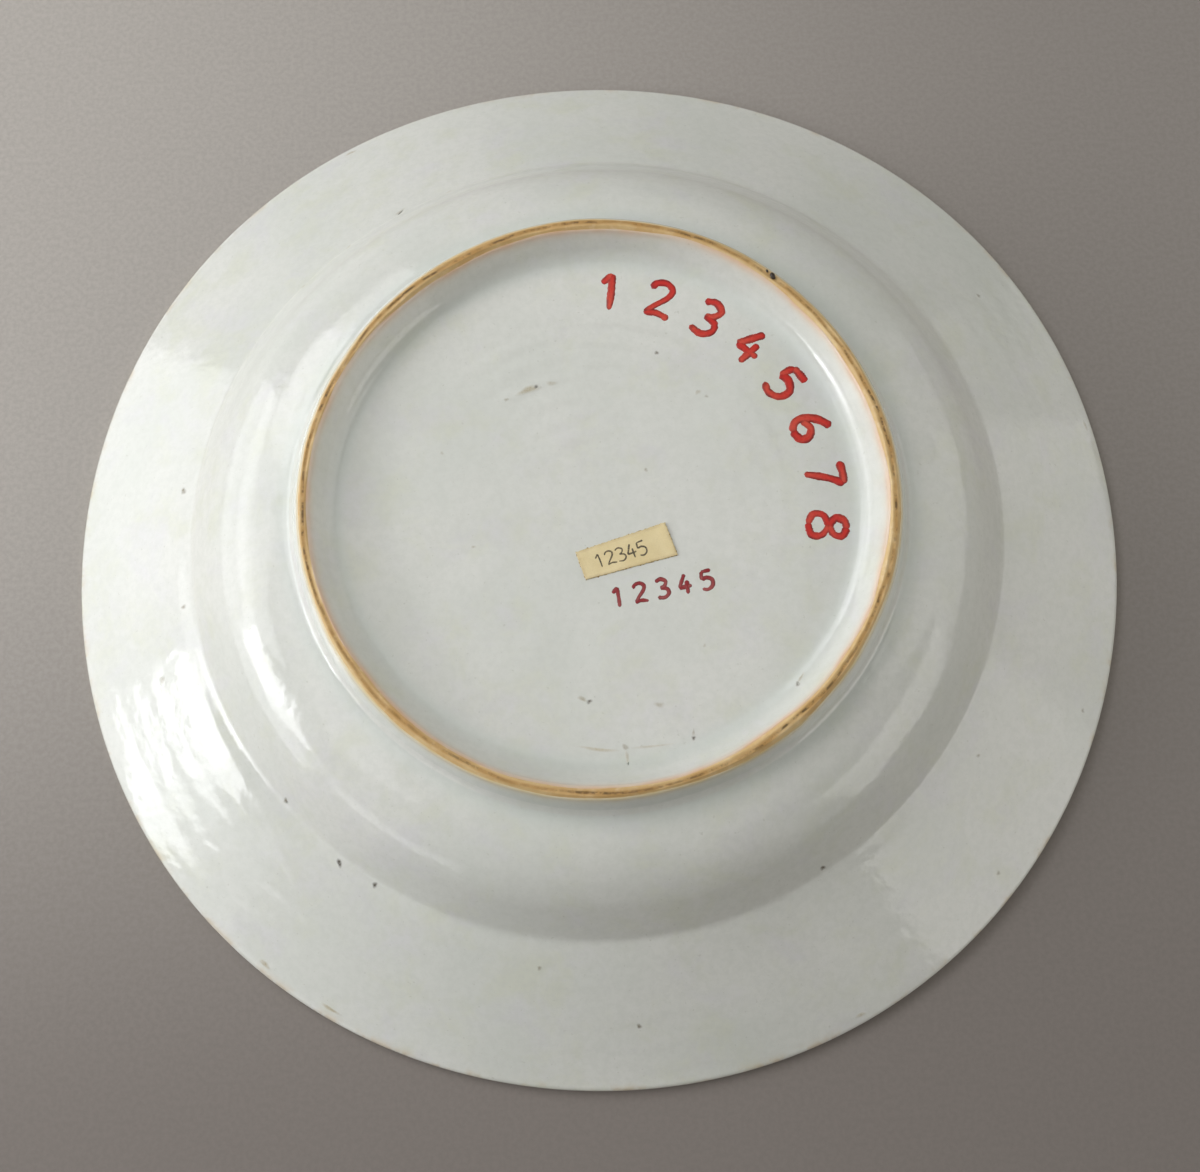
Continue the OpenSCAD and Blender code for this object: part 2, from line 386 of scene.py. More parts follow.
def glaze_lift(away):
    """The rounded bead along a glaze edge, by distance in from the line."""
    edge = np.sqrt(np.clip(1 - (1 - np.clip(away / 0.18, 0, 1)) ** 2, 0, 1))
    bead = 0.035 + 0.07 * np.exp(-((away - 0.45) / 0.5) ** 2)
    return edge * bead - 0.03 - 0.005 * rise(away, 1, 3)


def coat_inside(arcs, every):
    """The hidden side of a coat, back along every so many of its rows to the first."""
    back = arcs[::-1][::every]
    if not np.allclose(back[-1], arcs[0]):
        back = np.concatenate([back, arcs[:1]])
    return surface(back, TURN, clay_lift(back, TURN) - GLAZE_SINK)


def bell(x, middle, spread):
    """1 at the middle, falling to 0 on both sides."""
    return np.exp(-((x - middle) / spread) ** 2)


def glaze_coat(name, arcs, lines, wrap, replaces, every):
    """A closed coat of glaze over rows of the outline. lines are (glaze line, +1 if the glaze lies
    beyond it or -1 if before it). Its attributes say where the glaze is thin at an edge, where it
    pooled in a hollow, and where the lip is."""
    away = np.min([side * (arcs - line) for line, side in lines], axis=0)
    away = np.maximum(away, 0)
    outer = surface(arcs, TURN, glaze_lift(away))
    inner = coat_inside(arcs, every)
    points, faces, origin = lathe(np.concatenate([outer, inner]), wrap)
    r = np.interp(arcs, ARC, RADIUS)
    looks = {
        "thin": np.exp(-(away / 1.25) ** 1.4),
        "pool": np.where(arcs < RIM_ARC, bell(r, 52.5, 1.8) + bell(r, 63.0, 2.2), 0),
        "lip": np.exp(-((arcs - RIM_ARC + 0.6) / 1.1) ** 2),
    }
    hidden = np.zeros(inner.shape[:2])
    for key, value in looks.items():
        seen = np.broadcast_to(value, outer.shape[:2])
        looks[key] = np.concatenate([seen, hidden]).ravel()[origin]
    make_piece(name, points, faces, "glaze", GLAZE, replaces, **looks)


# ---- materials

def srgb(r, g, b):
    """A linear colour from 8-bit sRGB values."""
    linear = [v / 255 / 12.92 if v <= 10 else ((v / 255 + 0.055) / 1.055) ** 2.4
              for v in (r, g, b)]
    return (*linear, 1.0)


class Nodes:
    """A short way to write a node material."""

    def __init__(self, name):
        self.material = bpy.data.materials.new(name)
        self.material.use_nodes = True
        self.tree = self.material.node_tree
        self.shader = self.tree.nodes["Principled BSDF"]
        coordinates = self.tree.nodes.new("ShaderNodeTexCoord")
        self.place = coordinates.outputs["Object"]

    def put(self, node, name, value):
        """Sets a node's input to a value, or links it to a socket."""
        socket = node.inputs[name]
        if isinstance(value, bpy.types.NodeSocket):
            self.tree.links.new(value, socket)
        else:
            socket.default_value = value

    def set(self, **values):
        """Sets inputs of the shader, with _ for a space."""
        for name, value in values.items():
            self.put(self.shader, name.replace("_", " "), value)

    def noise(self, size, detail=3.0, roughness=0.5, stretch=None, distortion=0.0):
        """Noise with features about size millimetres across."""
        node = self.tree.nodes.new("ShaderNodeTexNoise")
        vector = self.place
        if stretch:
            mapping = self.tree.nodes.new("ShaderNodeMapping")
            self.tree.links.new(vector, mapping.inputs["Vector"])
            mapping.inputs["Scale"].default_value = stretch
            vector = mapping.outputs["Vector"]
        self.tree.links.new(vector, node.inputs["Vector"])
        node.inputs["Scale"].default_value = 1 / (size * MM)
        node.inputs["Detail"].default_value = detail
        node.inputs["Roughness"].default_value = roughness
        node.inputs["Distortion"].default_value = distortion
        return node.outputs["Fac"]

    def attribute(self, name):
        node = self.tree.nodes.new("ShaderNodeAttribute")
        node.attribute_name = name
        return node.outputs["Fac"]

    def math(self, operation, a, b=0.0):
        node = self.tree.nodes.new("ShaderNodeMath")
        node.operation = operation
        self.put(node, 0, a)
        self.put(node, 1, b)
        return node.outputs[0]

    def times(self, a, b):
        return self.math("MULTIPLY", a, b)

    def ramp(self, value, low, high, to_low=0.0, to_high=1.0):
        """Remaps a value from one range to another, smoothly and clamped."""
        node = self.tree.nodes.new("ShaderNodeMapRange")
        node.interpolation_type = "SMOOTHSTEP"
        self.put(node, "Value", value)
        limits = {"From Min": low, "From Max": high, "To Min": to_low, "To Max": to_high}
        for name, number in limits.items():
            self.put(node, name, number)
        return node.outputs["Result"]

    def mix(self, share, a, b):
        node = self.tree.nodes.new("ShaderNodeMix")
        node.data_type = "RGBA"
        self.put(node, 0, share)
        self.put(node, 6, a)
        self.put(node, 7, b)
        return node.outputs[2]

    def bump(self, height, strength, distance, normal=None):
        """A bump of a distance in millimetres, on top of another normal if given."""
        node = self.tree.nodes.new("ShaderNodeBump")
        self.put(node, "Height", height)
        node.inputs["Strength"].default_value = strength
        node.inputs["Distance"].default_value = distance * MM
        if normal is not None:
            self.tree.links.new(normal, node.inputs["Normal"])
        return node.outputs["Normal"]

    def radius(self):
        """Distance from the plate's axis, in metres."""
        parts = self.tree.nodes.new("ShaderNodeSeparateXYZ")
        self.tree.links.new(self.place, parts.inputs[0])
        x2 = self.times(parts.outputs["X"], parts.outputs["X"])
        y2 = self.times(parts.outputs["Y"], parts.outputs["Y"])
        return self.math("SQRT", self.math("ADD", x2, y2))


def glaze_colour(m):
    """Faintly grey-green white with soft clouds and a fine mottle of the body showing through."""
    clouds = m.ramp(m.noise(34, 4, 0.55), 0.3, 0.7)
    colour = m.mix(clouds, srgb(219, 221, 213), srgb(227, 227, 220))
    green = m.ramp(m.noise(11, 4, 0.6, distortion=0.3), 0.48, 0.72)
    colour = m.mix(m.times(green, 0.55), colour, srgb(217, 219, 200))
    lilac = m.ramp(m.noise(13, 4, 0.6, (1.0, 1.1, 1.2), 0.3), 0.50, 0.74)
    colour = m.mix(m.times(lilac, 0.45), colour, srgb(220, 218, 221))
    mottle = m.ramp(m.noise(1.7, 4, 0.7), 0.35, 0.68)
    colour = m.mix(m.times(mottle, 0.30), colour, srgb(206, 208, 199))
    pits = m.ramp(m.noise(0.75, 2, 0.5), 0.68, 0.78)
    return m.mix(m.times(pits, 0.30), colour, srgb(176, 176, 160))


def glaze_surface(m):
    """Glossy, with the shallow dimples of a thick wood-fired glaze."""
    normal = m.bump(m.noise(4.2, 2, 0.45), 1.0, 0.085)
    normal = m.bump(m.noise(1.9, 3, 0.5), 1.0, 0.030, normal)
    rough = m.ramp(m.noise(9, 3, 0.6), 0.35, 0.75, 0.09, 0.16)
    m.set(Roughness=rough, Normal=normal, IOR=1.52)


def glaze_material(name):
    m = Nodes(name)
    colour = glaze_colour(m)
    pool = m.times(m.attribute("pool"), 0.35)
    colour = m.mix(pool, colour, srgb(203, 212, 205))
    patchy = m.ramp(m.noise(7, 3, 0.6), 0.3, 0.7, 0.55, 1.0)
    thin = m.times(m.attribute("thin"), patchy)
    outside = m.ramp(m.radius(), 0.0582, 0.0592)
    warm = m.mix(outside, srgb(226, 186, 148), srgb(222, 200, 148))
    colour = m.mix(m.times(thin, 0.95), colour, warm)
    lip = m.times(m.attribute("lip"), m.ramp(m.noise(6, 3, 0.6), 0.5, 0.68))
    colour = m.mix(m.times(lip, 0.5), colour, srgb(205, 180, 140))
    m.set(Base_Color=colour)
    glaze_surface(m)
    return m.material


def clay_material():
    """Toasted bare porcelain with a broken, dirty line along the worn crest. The across attribute is
    the distance from the middle of the crest in millimetres."""
    m = Nodes("bare_clay")
    toast = m.ramp(m.noise(9, 4, 0.6), 0.3, 0.7)
    colour = m.mix(toast, srgb(223, 195, 142), srgb(207, 168, 110))
    pale = m.ramp(m.noise(2.2, 3, 0.6), 0.5, 0.75)
    colour = m.mix(m.times(pale, 0.5), colour, srgb(232, 208, 166))
    wander = m.ramp(m.noise(12, 2), 0.3, 0.7, -0.2, 0.3)
    off = m.math("ABSOLUTE", m.math("SUBTRACT", m.attribute("across"), wander))
    patchy = m.ramp(m.noise(3.2, 3, 0.6), 0.25, 0.6, 0.25, 0.8)
    halo = m.times(m.ramp(off, 0.1, 0.8, 1.0, 0.0), patchy)
    colour = m.mix(halo, colour, srgb(178, 134, 70))
    line = m.ramp(off, 0.10, 0.34, 1.0, 0.0)
    broken = m.ramp(m.noise(1.9, 3, 0.7), 0.42, 0.62)
    stain = m.ramp(m.noise(17, 2, 0.5), 0.35, 0.65, 0.25, 1.0)
    dirt = m.times(m.times(line, broken), stain)
    colour = m.mix(m.times(dirt, 0.9), colour, srgb(92, 70, 36))
    grain = m.noise(0.35, 3, 0.7)
    normal = m.bump(grain, 0.6, 0.05)
    m.set(Base_Color=colour, Roughness=m.ramp(grain, 0.3, 0.7, 0.5, 0.75), Normal=normal)
    return m.material


def speck_material():
    """Glaze with iron showing through it. The core attribute says how much, and shade how dark."""
    m = Nodes("iron_in_glaze")
    core = m.attribute("core")
    shade = m.attribute("shade")
    iron = m.mix(shade, srgb(194, 176, 130), srgb(62, 48, 30))
    uneven = m.ramp(m.noise(0.45, 3, 0.65), 0.25, 0.75, 0.55, 1.15)
    m.set(Base_Color=m.mix(m.times(core, uneven), glaze_colour(m), iron))
    glaze_surface(m)
    return m.material


def paper_material():
    """Yellowed paper, browner at its edges."""
    m = Nodes("old_paper")
    fibre = m.noise(0.35, 4, 0.7, (1.0, 2.6, 1.0))
    age = m.ramp(m.noise(7, 3, 0.6), 0.3, 0.7)
    colour = m.mix(age, srgb(242, 225, 180), srgb(232, 213, 163))
    colour = m.mix(m.times(m.ramp(fibre, 0.45, 0.7), 0.35), colour, srgb(214, 194, 148))
    patchy = m.ramp(m.noise(1.6, 3, 0.6), 0.3, 0.7, 0.3, 1.0)
    edge = m.times(m.attribute("edge"), patchy)
    colour = m.mix(m.times(edge, 0.5), colour, srgb(176, 148, 100))
    m.set(Base_Color=colour, Roughness=m.ramp(fibre, 0.3, 0.7, 0.75, 0.95),
          Normal=m.bump(fibre, 0.6, 0.03))
    m.shader.inputs["Specular IOR Level"].default_value = 0.25
    return m.material


def gum_material():
    m = Nodes("dried_gum")
    crackle = m.noise(0.8, 3, 0.6)
    colour = m.mix(m.ramp(crackle, 0.3, 0.7), srgb(170, 140, 84), srgb(138, 106, 58))
    m.set(Base_Color=colour, Roughness=m.ramp(crackle, 0.3, 0.7, 0.3, 0.55),
          Normal=m.bump(crackle, 0.4, 0.02))
    return m.material


def paint_material(name, full, worn, deep, gloss):
    """Brushed paint: full where the brush was loaded, thin where it ran dry, and deep where it dried
    in a thick edge."""
    m = Nodes(name)
    load = m.attribute("load")
    streaks = m.noise(0.5, 3, 0.6)
    share = m.ramp(m.math("ADD", load, m.times(streaks, 0.6)), 0.55, 1.15)
    colour = m.mix(share, worn, full)
    patchy = m.ramp(m.noise(1.4, 2, 0.5), 0.35, 0.65, 0.35, 0.9)
    pooled = m.times(m.attribute("pooled"), patchy)
    colour = m.mix(pooled, colour, deep)
    m.set(Base_Color=colour, Roughness=m.ramp(streaks, 0.3, 0.7, gloss, gloss + 0.15),
          Normal=m.bump(streaks, 0.4, 0.012))
    return m.material


def pencil_material():
    m = Nodes("pencil_lead")
    tooth = m.noise(0.22, 2, 0.6)
    colour = m.mix(m.ramp(tooth, 0.48, 0.70), srgb(84, 74, 58), srgb(160, 142, 104))
    m.set(Base_Color=colour, Roughness=m.ramp(tooth, 0.3, 0.7, 0.45, 0.7),
          Normal=m.bump(tooth, 0.3, 0.01))
    return m.material


def grit_material():
    m = Nodes("kiln_grit")
    lump = m.noise(0.3, 3, 0.6)
    colour = m.mix(m.ramp(lump, 0.3, 0.7), srgb(36, 32, 28), srgb(74, 60, 44))
    m.set(Base_Color=colour, Roughness=m.ramp(lump, 0.3, 0.7, 0.35, 0.6),
          Normal=m.bump(lump, 0.6, 0.05))
    return m.material


GLAZE = glaze_material("porcelain_glaze")
CLAY = clay_material()
SPECK = speck_material()
PAPER = paper_material()
GUM = gum_material()
RED = paint_material("red_lacquer", srgb(206, 40, 30), srgb(218, 84, 64), srgb(108, 12, 18), 0.30)
DARK_RED = paint_material("dark_red_lacquer", srgb(150, 34, 40), srgb(172, 92, 88),
                          srgb(104, 26, 34), 0.38)
PENCIL = pencil_material()
GRIT = grit_material()


# ---- the clay body and its three coats of glaze

def clay_body():
    """The body, a glaze's thickness under every coat, rough and a little nicked where it is bare."""
    arcs = steps((0, 6), (top_arc(40), 8), (MEAN_IN - 3, 6), (MEAN_IN - 0.4, 34),
                 (MEAN_OUT + 0.4, 6), (MEAN_OUT + 3.5, 10), (MEAN_OUT + 9, 6),
                 (top_arc(82), 12), (top_arc(90), 7), (RIM_ARC - 2, 5),
                 (LAND_OUT_ARC, 3), (LAND_IN_ARC, 5), (LAND_IN_ARC + 4, 8),
                 (under_arc(86), 12), (under_arc(66), 8), (END_ARC, 0))
    rows = np.repeat(arcs[:, None], COLUMNS, 1)
    lift = clay_lift(rows, TURN)
    bare = rise(lift, -0.1, -0.02) * band(rows, MEAN_IN - 1.5, MEAN_OUT + 1.5, 0.5)
    rng = np.random.default_rng(SEED)
    grain = rng.standard_normal(rows.shape)
    grain = (grain + np.roll(grain, 1, 1) + np.roll(grain, 1, 0)) / 3
    nicks = waves(TURN, ripples(6, (15, 90), 0.3))
    crest = top_arc(CREST_MIDDLE)
    worn = bell(rows, crest, 0.5) * np.clip(nicks - 0.12, 0, 0.4)
    lift = lift + bare * (0.012 * grain - 0.5 * worn)
    points, faces, origin = lathe(surface(rows, TURN, lift), False)
    across = np.clip(rows - crest, -5, 5).ravel()[origin]
    make_piece("clay_body", points, faces, "clay", CLAY, ["porcelain_body"], across=across)


def recess_coat():
    arcs = steps((0, 8), (top_arc(12), 38), (top_arc(44), 26), (MEAN_IN - 2.4, 16),
                 (MEAN_IN - 0.5, 12), (MEAN_IN, 0))
    arcs = follow(arcs, LINE_IN)
    glaze_coat("recess_glaze_coat", arcs, [(LINE_IN, -1)], False, ["base_glaze"], 4)


def back_coat():
    arcs = steps((MEAN_OUT, 10), (MEAN_OUT + 0.5, 12), (MEAN_OUT + 4, 24),
                 (top_arc(80), 18), (top_arc(88), 36), (RIM_ARC - 2, 10), (LAND_OUT_ARC, 0))
    arcs = follow(arcs, LINE_OUT)
    lines = [(LINE_OUT, 1), (LAND_OUT_ARC, -1)]
    glaze_coat("back_glaze_coat", arcs, lines, True, ["back_glaze"], 5)


def front_coat():
    """The coat on the front. It starts with its hidden side, so that its seen side faces down."""
    arcs = steps((LAND_IN_ARC, 8), (LAND_IN_ARC + 1.5, 34), (under_arc(84), 18),
                 (under_arc(76), 24), (under_arc(40), 10), (END_ARC, 0))
    arcs = np.repeat(arcs[:, None], COLUMNS, 1)
    away = np.maximum(arcs - LAND_IN_ARC, 0)
    outer = surface(arcs, TURN, glaze_lift(away))
    inner = coat_inside(arcs, 4)
    points, faces, origin = lathe(np.concatenate([inner, outer]), False)
    hidden = np.zeros(inner.shape[:2])
    thin = np.concatenate([hidden, np.exp(-away / 0.9)]).ravel()[origin]
    none = np.zeros(len(points))
    make_piece("front_glaze_coat", points, faces, "glaze", GLAZE, ["front_glaze"],
               thin=thin, pool=none, lip=none)


clay_body()
recess_coat()
back_coat()
front_coat()


# ---- brushed digits

# Brush strokes of the digits 1 to 8, in a box one high.
DIGITS = [
    [[(.14, .76), (.34, 1)], [(.34, 1), (.34, .5), (.31, 0)]],
    [[(.06, .78), (.14, .95), (.36, 1), (.52, .84), (.46, .6), (.24, .32), (.05, .05)],
     [(.05, .05), (.3, .1), (.58, .02)]],
    [[(.08, .9), (.3, 1), (.5, .84), (.42, .62), (.24, .54)],
     [(.24, .54), (.5, .44), (.54, .2), (.34, .02), (.06, .08)]],
    [[(.36, 1), (.2, .66), (.06, .36)], [(.06, .36), (.3, .36), (.58, .38)],
     [(.42, .66), (.4, .3), (.38, 0)]],
    [[(.52, .98), (.3, .97), (.14, .95)], [(.14, .95), (.11, .75), (.1, .56)],
     [(.1, .56), (.32, .62), (.53, .46), (.5, .16), (.28, 0), (.06, .08)]],
    [[(.44, 1), (.22, .78), (.08, .46), (.1, .18), (.28, .02)],
     [(.28, .02), (.5, .14), (.52, .36), (.34, .5), (.12, .36)]],
    [[(.06, .93), (.3, .97), (.54, .96)], [(.54, .96), (.38, .56), (.24, 0)]],
    [[(.3, .54), (.12, .7), (.16, .92), (.32, 1)], [(.32, 1), (.5, .9), (.48, .68), (.3, .54)],
     [(.3, .54), (.08, .38), (.08, .12), (.3, 0)], [(.3, 0), (.54, .12), (.52, .38), (.3, .54)]],
]
DIGIT_W = 0.6
DIGIT_STRETCH = 1.2


def curve(points, count):
    """Evenly spaced points on a smooth curve through points, and its length."""
    p = np.array(points, float)
    p = np.concatenate([p[:1], p, p[-1:]])
    dense = []
    for a, b, c, d in zip(p, p[1:], p[2:], p[3:]):
        for t in np.linspace(0, 1, 12, endpoint=False):
            dense.append(0.5 * (2 * b + (c - a) * t + (2 * a - 5 * b + 4 * c - d) * t * t
                                + (3 * b - a - 3 * c + d) * t ** 3))
    dense = np.array(dense + [p[-1]])
    along = np.concatenate([[0], np.cumsum(np.hypot(*np.diff(dense, axis=0).T))])
    even = np.linspace(0, along[-1], count)
    return np.stack([np.interp(even, along, dense[:, k]) for k in (0, 1)], 1), along[-1]


def sheet_faces(count, width, start, turn):
    """Faces of a closed thin sheet whose points are a grid of count rows for its upper side and then
    one for its under side. turn says which corner a quad of the grid starts at."""
    faces = []

    def add(a, b, c, d, shift=0):
        corners = [start + (i * width + j) + under * count * width for i, j, under in (a, b, c, d)]
        faces.append(tuple(corners[shift:] + corners[:shift]))

    for i in range(count - 1):
        for j in range(width - 1):
            add((i, j, 0), (i + 1, j, 0), (i + 1, j + 1, 0), (i, j + 1, 0), turn)
            add((i, j + 1, 1), (i + 1, j + 1, 1), (i + 1, j, 1), (i, j, 1), 3 * turn)
        add((i, 0, 1), (i + 1, 0, 1), (i + 1, 0, 0), (i, 0, 0))
        add((i, width - 1, 0), (i + 1, width - 1, 0), (i + 1, width - 1, 1), (i, width - 1, 1))
    for j in range(width - 1):
        add((0, j, 0), (0, j + 1, 0), (0, j + 1, 1), (0, j, 1))
        add((count - 1, j, 1), (count - 1, j + 1, 1), (count - 1, j + 1, 0), (count - 1, j, 0))
    return faces


def brush_strokes(marks, onto, width, thick, seed, lengthwise=30, across=9):
    """Raised brush strokes. marks are strokes as lists of flat points, and onto puts flat points and
    a lift on the surface. Returns points, faces, and attributes for how full the brush was and where
    the paint pooled."""
    rng = np.random.default_rng(SEED + seed)
    points, faces, load, pooled = [], [], [], []
    side = np.linspace(-1, 1, across)
    for mark in marks:
        line, length = curve(mark, lengthwise)
        tangent = np.gradient(line, axis=0)
        tangent = tangent / np.linalg.norm(tangent, axis=1)[:, None]
        normal = np.stack([-tangent[:, 1], tangent[:, 0]], 1)
        t = np.linspace(0, 1, lengthwise)
        end = width * 0.5 / max(length, width)
        stretched = np.clip(np.minimum(t, 1 - t) / end, 0, 1)
        round_end = np.sqrt(1 - (1 - stretched) ** 2)
        press = rng.uniform(0.92, 1.12) * (1.05 - 0.28 * t ** 2 * rng.uniform(0.2, 1))
        shake = 1 + 0.07 * np.sin(t * rng.uniform(6, 14) + rng.uniform(0, 6))
        half = width / 2 * press * shake * np.maximum(round_end, 0.02)
        ends = tangent * (width * 0.5 * (t - 0.5) * 0.6)[:, None]
        wobble = 1 + 0.05 * rng.standard_normal((lengthwise, 1))
        flat = (line + ends)[:, None] + normal[:, None] * (half[:, None] * wobble * side)[..., None]
        dome = np.sqrt(np.clip(1 - side ** 2, 0, 1)) ** 0.7
        ridge = 0.75 + 0.25 * side ** 2
        top = thick * np.maximum(round_end, 0.05)[:, None] * dome * ridge
        bottom = np.full_like(top, -0.03)
        start = sum(len(p) for p in points)
        points.append(onto(flat.reshape(-1, 2), top.ravel()))
        points.append(onto(flat.reshape(-1, 2), bottom.ravel()))
        fullness = np.clip(1.05 - 0.5 * t - 0.25 * rng.uniform(0, 1), 0.2, 1)[:, None]
        fullness = fullness * (1 - 0.25 * np.abs(side))
        load += [fullness.ravel(), fullness.ravel()]
        thick_edge = rise(np.abs(side), 0.25, 0.75)[None, :] * 0.9 * np.ones((lengthwise, 1))
        thick_edge = np.maximum(thick_edge, rise(np.maximum(t - 0.88, 0.10 - t), 0, 0.10)[:, None])
        pooled += [thick_edge.ravel(), thick_edge.ravel()]
        faces += sheet_faces(lengthwise, across, start, 1)
    paint = {"load": np.concatenate(load), "pooled": np.concatenate(pooled)}
    return np.concatenate(points), faces, paint


def turned(points, degrees):
    """Flat points turned anticlockwise about the origin."""
    a = math.radians(degrees)
    p = np.asarray(points, float)
    return np.stack([p[..., 0] * math.cos(a) - p[..., 1] * math.sin(a),
                     p[..., 0] * math.sin(a) + p[..., 1] * math.cos(a)], -1)


def on_recess(flat, lift):
    """Flat points laid on the recess floor."""
    r = np.hypot(flat[:, 0], flat[:, 1])
    return surface(top_arc(r), np.arctan2(flat[:, 1], flat[:, 0]), lift)


def digit_marks(value, height):
    """A digit's strokes about its own middle."""
    return [(np.array(stroke) - (DIGIT_W / 2, 0.5)) * (height * DIGIT_STRETCH, height)
            for stroke in DIGITS[value - 1]]


def large_number():
    """Eight digits along the foot ring, on a circle, heads outwards."""
    first, last = 84.5, -8
    circle_r, height, width, thick = 46.4, 7.8, 1.6, 0.085
    marks = []
    for i in range(8):
        angle = first + (last - first) * i / 7
        marks += [turned(stroke + (0, circle_r), angle - 90)
                  for stroke in digit_marks(i + 1, height)]
    points, faces, paint = brush_strokes(marks, on_recess, width, thick, 21)
    make_piece("large_red_number", points, faces, "red_paint", RED, ["large_number"], **paint)


def small_number():
    """Five digits in a slanting row under the label."""
    corner, slant, pitch = (3.4, -19.6), 9, 4.5
    height, width, thick = 3.9, 0.8, 0.06
    marks = []
    for i in range(5):
        marks += [turned(stroke + (i * pitch, 0), slant) + corner
                  for stroke in digit_marks(i + 1, height)]
    points, faces, paint = brush_strokes(marks, on_recess, width, thick, 22, 22, 7)
    make_piece("small_red_number", points, faces, "dark_red_paint", DARK_RED, ["small_number"],
               **paint)


large_number()
small_number()


# ---- the gummed paper label

LABEL_TURN = 15
LABEL_CORNERS = [(-9.5, -3.0), (9.5, -3.6), (9.1, 3.6), (-9.8, 3.0)]
LABEL_L = 19
LABEL_W = 6.6
EDGE_W = 6.5  # the width that goes with ragged and browned edges
PAPER_LOW = 0.035
PAPER_HIGH = 0.15


def label_flat(u, v):
    """A point of the label's own rectangle, u and v from 0 to 1, on the plate."""
    (x0, y0), (x1, y1), (x2, y2), (x3, y3) = LABEL_CORNERS
    x = (x0 * (1 - u) + x1 * u) * (1 - v) + (x3 * (1 - u) + x2 * u) * v
    y = (y0 * (1 - u) + y1 * u) * (1 - v) + (y3 * (1 - u) + y2 * u) * v
    return turned(np.stack([x, y], -1), LABEL_TURN) + LABEL_MIDDLE


def label_rise(u, v):
    """How far the paper stands off the gum: flat in the middle, cockled and curling at its ends."""
    curl = 0.22 * rise(u, 0.86, 1.0) * (0.4 + 0.6 * v) + 0.10 * rise(1 - u, 0.92, 1.0) * (1 - v)
    cockle = 0.018 * np.sin(u * 17 + 2 * v) * np.sin(v * 5 + 1) + 0.012 * np.sin(u * 31 + 4)
    return curl + cockle * rise(np.minimum(np.minimum(u, 1 - u) * 3, np.minimum(v, 1 - v)), 0, 0.2)


def slab(name, columns, rows, low, high, cockled, slot, material, replaces, ragged, seed):
    """A thin sheet over the label's rectangle between two lifts, either flat or cockled."""
    rng = np.random.default_rng(SEED + seed)
    u, v = np.meshgrid(np.linspace(0, 1, columns), np.linspace(0, 1, rows), indexing="ij")
    wander_u = ragged * rng.standard_normal(rows) / LABEL_L
    wander_v = ragged * rng.standard_normal(columns) / EDGE_W
    uu = u + (2 * rise(u, 0.5, 1) - 1) * np.abs(2 * u - 1) ** 8 * wander_u[None, :]
    vv = v + (2 * rise(v, 0.5, 1) - 1) * np.abs(2 * v - 1) ** 8 * wander_v[:, None]
    flat = label_flat(uu, vv).reshape(-1, 2)
    stand = (label_rise(u, v) * cockled).ravel()
    points = np.concatenate([on_recess(flat, high + stand), on_recess(flat, low + stand)])
    faces = sheet_faces(columns, rows, 0, 0)
    inset = np.minimum(np.minimum(u, 1 - u) * LABEL_L, np.minimum(v, 1 - v) * EDGE_W)
    edge = 1 - np.clip(inset / 0.7, 0, 1)
    make_piece(name, points, faces, slot, material, replaces,
               edge=np.concatenate([edge, edge]).ravel())


slab("label_gum_film", 60, 22, -0.03, 0.03, False, "gum", GUM, ["label_gum"], 0.12, 31)
slab("aged_paper_label", 110, 40, PAPER_LOW, PAPER_HIGH, True, "paper", PAPER, ["paper_label"],
     0.05, 32)


def on_label(flat, lift):
    """Flat points of the label's own rectangle, in millimetres from its lower left, on its face."""
    u, v = flat[:, 0] / LABEL_L, flat[:, 1] / LABEL_W
    face = PAPER_HIGH - 0.002 + label_rise(u, v)
    return on_recess(label_flat(u, v), face + np.where(lift > 0, lift, lift * 0.5))


def pencil_number():
    """Five small digits in a row on the label, each slanting a little."""
    corner, slant, pitch = (3.9, 3.2), 3, 2.2
    height, width, thick = 2.9, 0.36, 0.012
    marks = []
    for i in range(5):
        marks += [turned(stroke, slant) + corner + (i * pitch, 0)
                  for stroke in digit_marks(i + 1, height)]
    points, faces, paint = brush_strokes(marks, on_label, width, thick, 41, 20, 5)
    make_piece("pencil_number", points, faces, "paper", PENCIL, **paint)


pencil_number()


# ---- iron specks and grit

# Specks on the rim and wall: radius, angle, length, width, direction, darkness and strength.
SPECKS = [
    (86.0, 118.9, 2.6, 1.1, 40, 0.4, 0.42), (85.2, 110.9, 1.6, 0.7, 20, 0.4, 0.5),
    (85.2, 128.3, 1.6, 0.8, 45, 0.4, 0.4), (85.0, 137.4, 1.4, 0.8, 50, 0.4, 0.4),
    (85.2, 220.3, 1.3, 1.1, 0, 0.8, 0.8), (86.9, 231.3, 1.7, 1.2, 100, 1.0, 0.95),
    (86.5, 236.9, 1.4, 1.1, 10, 1.0, 0.9), (88.6, 172.3, 1.6, 1.4, 60, 0.75, 0.85),
    (88.0, 188.9, 1.3, 1.0, 0, 0.7, 0.7), (96.7, 196.9, 1.7, 1.6, 0, 0.6, 0.55),
    (102.3, 272.4, 1.2, 1.0, 0, 0.8, 0.8), (91.2, 260.5, 1.1, 0.9, 0, 0.7, 0.6),
    (102.7, 31.2, 1.2, 1.0, 0, 0.7, 0.6), (110.4, 337.9, 1.1, 0.9, 0, 0.7, 0.6),
    (109.6, 317.1, 1.1, 0.9, 0, 0.7, 0.6), (92.2, 326.0, 1.0, 0.8, 0, 0.6, 0.55),
    (84.6, 299.9, 1.2, 1.0, 0, 0.9, 0.9), (113.0, 230.2, 3.4, 1.0, 320, 0.25, 0.7),
    (112.9, 238.6, 4.2, 1.0, 329, 0.25, 0.7), (113.2, 119.0, 3.0, 0.9, 209, 0.3, 0.55),
    (113.1, 296.0, 2.6, 0.8, 26, 0.2, 0.5), (113.1, 12.0, 2.2, 0.8, 102, 0.2, 0.4),
]

